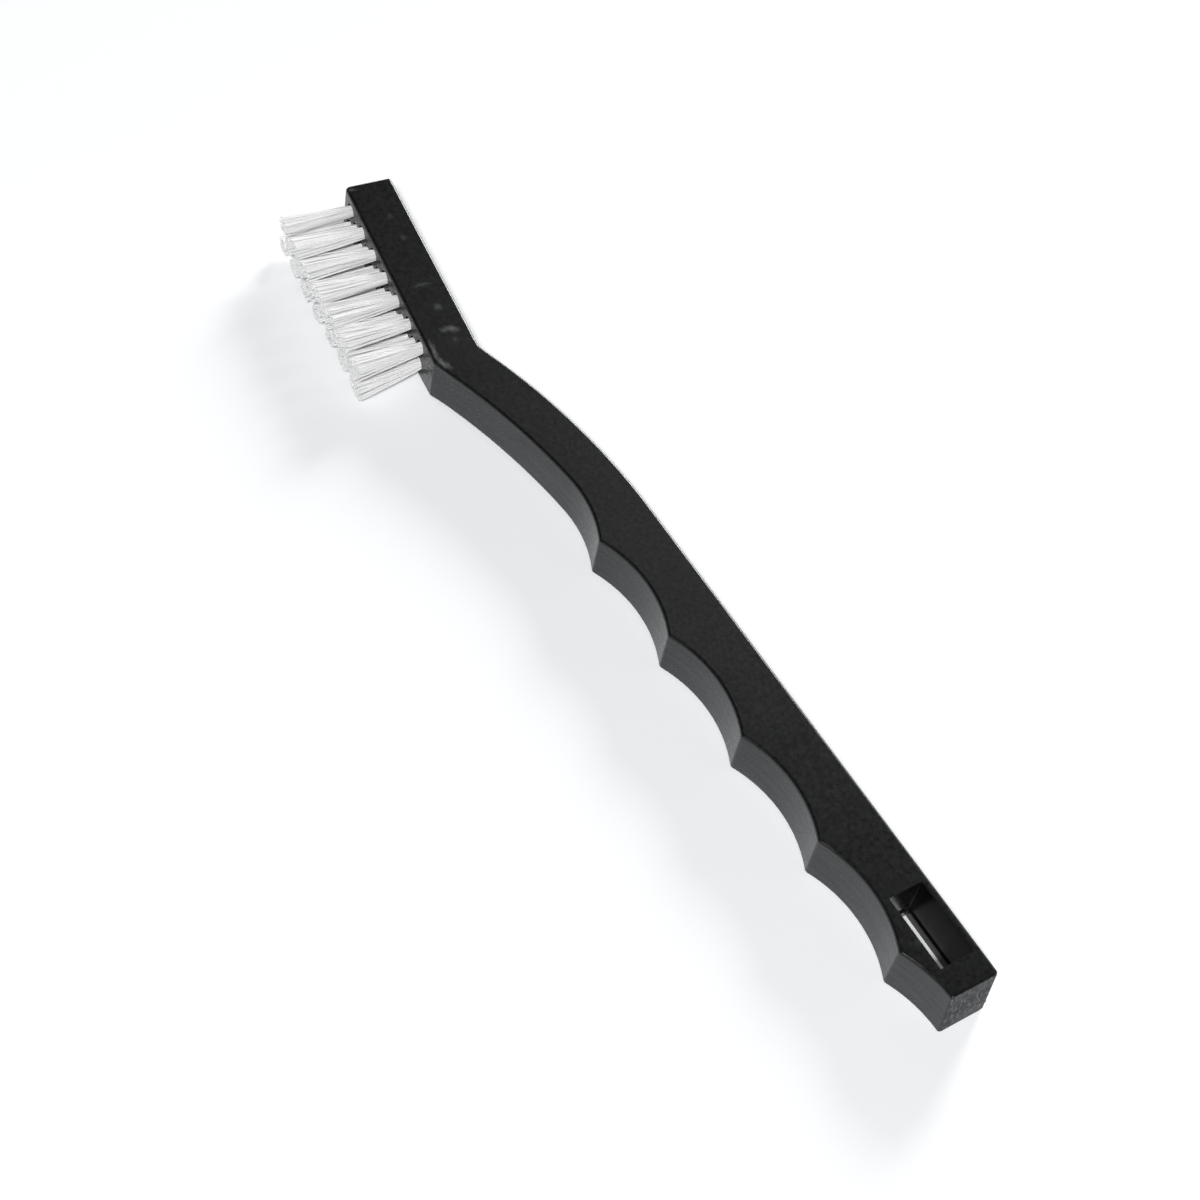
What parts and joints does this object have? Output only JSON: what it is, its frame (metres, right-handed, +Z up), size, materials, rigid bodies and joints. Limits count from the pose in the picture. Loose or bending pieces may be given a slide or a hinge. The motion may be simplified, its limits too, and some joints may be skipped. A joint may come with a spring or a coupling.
{
  "type": "crevice brush",
  "caption": "Narrow crevice brush with a black scalloped plastic grip, a bent neck, a hanging hole and three staggered rows of short off-white nylon tufts",
  "frame": {"origin": "On the surface the brush lies on, at the centre of its bounding box seen from above", "axes": "+X towards the hanging end of the handle, +Y towards the smooth back, bristles towards -Y, +Z up out of the side face that shows"},
  "size_m": [0.1862, 0.0296, 0.0104],
  "materials": {
    "handle_plastic": "semi-gloss moulded black polypropylene with fine flow lines",
    "bristle_nylon": "off-white crimp-free nylon filament",
    "anchor_metal": "flat nickel silver wire"
  },
  "bodies": {
    "root": {"handle": "handle_plastic", "tuft_near_1": "bristle_nylon", "tuft_near_2": "bristle_nylon", "tuft_near_3": "bristle_nylon", "tuft_near_4": "bristle_nylon", "tuft_near_5": "bristle_nylon", "tuft_near_6": "bristle_nylon", "tuft_near_7": "bristle_nylon", "tuft_middle_1": "bristle_nylon", "tuft_middle_2": "bristle_nylon", "tuft_middle_3": "bristle_nylon", "tuft_middle_4": "bristle_nylon", "tuft_middle_5": "bristle_nylon", "tuft_middle_6": "bristle_nylon", "tuft_far_1": "bristle_nylon", "tuft_far_2": "bristle_nylon", "tuft_far_3": "bristle_nylon", "tuft_far_4": "bristle_nylon", "tuft_far_5": "bristle_nylon", "tuft_far_6": "bristle_nylon", "tuft_far_7": "bristle_nylon", "anchor_near_1": "anchor_metal", "anchor_near_2": "anchor_metal", "anchor_near_3": "anchor_metal", "anchor_near_4": "anchor_metal", "anchor_near_5": "anchor_metal", "anchor_near_6": "anchor_metal", "anchor_near_7": "anchor_metal", "anchor_middle_1": "anchor_metal", "anchor_middle_2": "anchor_metal", "anchor_middle_3": "anchor_metal", "anchor_middle_4": "anchor_metal", "anchor_middle_5": "anchor_metal", "anchor_middle_6": "anchor_metal", "anchor_far_1": "anchor_metal", "anchor_far_2": "anchor_metal", "anchor_far_3": "anchor_metal", "anchor_far_4": "anchor_metal", "anchor_far_5": "anchor_metal", "anchor_far_6": "anchor_metal", "anchor_far_7": "anchor_metal"}
  },
  "joints": []
}
